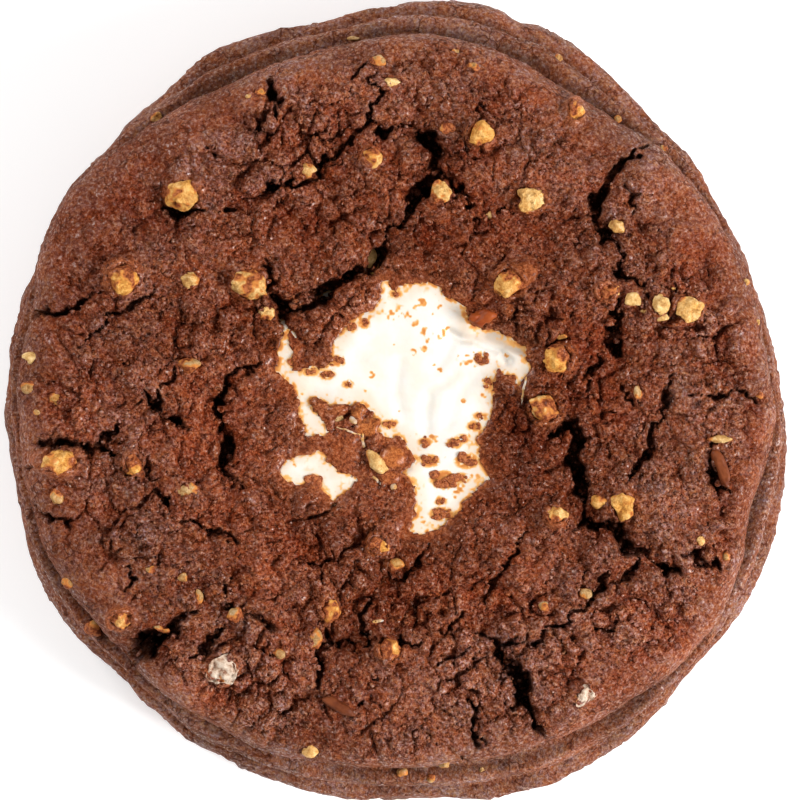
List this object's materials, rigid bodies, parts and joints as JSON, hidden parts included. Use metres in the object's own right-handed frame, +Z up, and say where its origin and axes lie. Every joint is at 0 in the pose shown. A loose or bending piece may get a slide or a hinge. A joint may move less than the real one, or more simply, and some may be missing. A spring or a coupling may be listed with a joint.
{
  "type": "smores cookie",
  "caption": "Thick round stuffed cocoa cookie with a cracked top, slumped folded sides and a torn middle that shows marshmallow, with biscuit and chocolate bits in the dough.",
  "frame": {"origin": "on the table, under the middle of the cookie's bounding box", "axes": "+Z up out of the cracked top, +Y along the slightly longer way across, +X to the right of it as seen from above"},
  "size_m": [0.0893, 0.0918, 0.0277],
  "materials": {
    "cookie_dough": "baked cocoa dough: fine crumbly grain, cracks, dull with a faint greasy sheen",
    "marshmallow": "melted and set marshmallow: smooth, soft satin, stained tan along its edge",
    "biscuit": "golden crushed biscuit, porous and rough, partly filmed with cocoa dough",
    "chocolate": "milk chocolate shard, smooth with a low waxy gloss"
  },
  "bodies": {
    "root": {"cookie_dough": "cookie_dough", "marshmallow_filling": "marshmallow", "biscuit_lump_01": "biscuit", "biscuit_lump_02": "biscuit", "biscuit_lump_03": "biscuit", "biscuit_lump_04": "biscuit", "biscuit_lump_05": "biscuit", "biscuit_lump_06": "biscuit", "biscuit_lump_07": "biscuit", "biscuit_lump_08": "biscuit", "biscuit_lump_09": "biscuit", "biscuit_lump_10": "biscuit", "biscuit_lump_11": "biscuit", "biscuit_lump_12": "biscuit", "biscuit_lump_13": "biscuit", "biscuit_lump_14": "biscuit", "biscuit_lump_15": "biscuit", "biscuit_lump_16": "biscuit", "biscuit_lump_17": "biscuit", "biscuit_lump_18": "biscuit", "biscuit_lump_19": "biscuit", "biscuit_lump_20": "biscuit", "biscuit_lump_21": "biscuit", "biscuit_lump_22": "biscuit", "biscuit_lump_23": "biscuit", "biscuit_lump_24": "biscuit", "chocolate_shard_1": "chocolate", "chocolate_shard_2": "chocolate", "chocolate_shard_3": "chocolate"}
  },
  "joints": []
}
